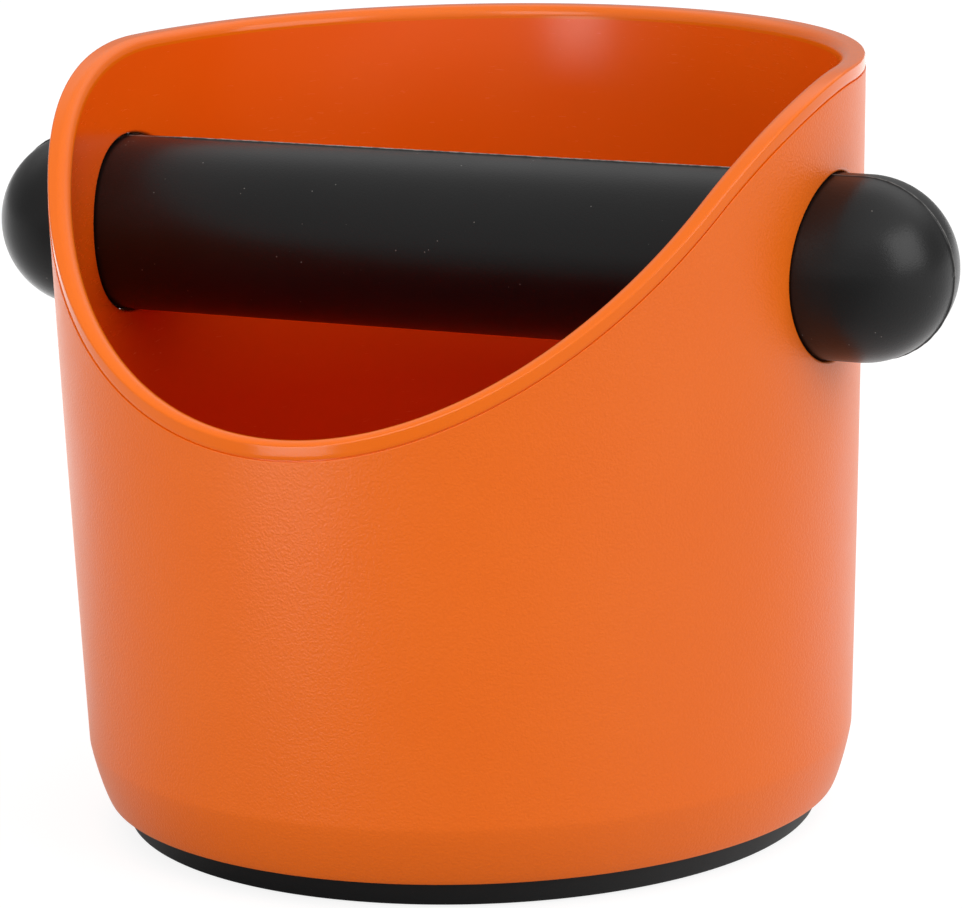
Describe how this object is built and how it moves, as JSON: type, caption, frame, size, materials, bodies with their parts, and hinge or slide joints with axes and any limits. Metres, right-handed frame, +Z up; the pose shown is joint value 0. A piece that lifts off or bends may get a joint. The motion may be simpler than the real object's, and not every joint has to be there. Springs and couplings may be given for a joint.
{
  "type": "espresso knock box",
  "caption": "Round drafted bin with a slanted front opening, a rubber-covered knock bar through its walls with domed ends, and a rubber foot ring.",
  "frame": {"origin": "middle of the whole object's box, at the height of the surface it stands on", "axes": "+X along the knock bar, +Y from the low front of the tub to its high back, +Z up"},
  "size_m": [0.1798, 0.1384, 0.1309],
  "materials": {
    "abs_orange": "orange ABS, fine spark-eroded grain outside, satin lip and inside",
    "rubber_black": "satin black moulded rubber",
    "rubber_foot": "black anti-slip rubber",
    "core_steel": "drawn steel tube",
    "nylon_black": "moulded nylon"
  },
  "bodies": {
    "box": {"tub": "abs_orange", "foot_ring": "rubber_foot"},
    "bar_core": {"core_tube": "core_steel"},
    "knock_bar": {"bar_sleeve": "rubber_black", "end_cap_right": "rubber_black", "end_cap_left": "rubber_black", "end_plug_right": "nylon_black", "end_plug_left": "nylon_black"}
  },
  "joints": [
    {"name": "bar_pull_out", "type": "slide", "parent": "box", "child": "bar_core", "axis": [1, 0, 0], "range_m": [-0.165, 0.165]},
    {"name": "bar_turn", "type": "hinge", "parent": "bar_core", "child": "knock_bar", "pos_m": [0, 0.00101, 0.0988], "axis": [1, 0, 0], "continuous": true}
  ]
}
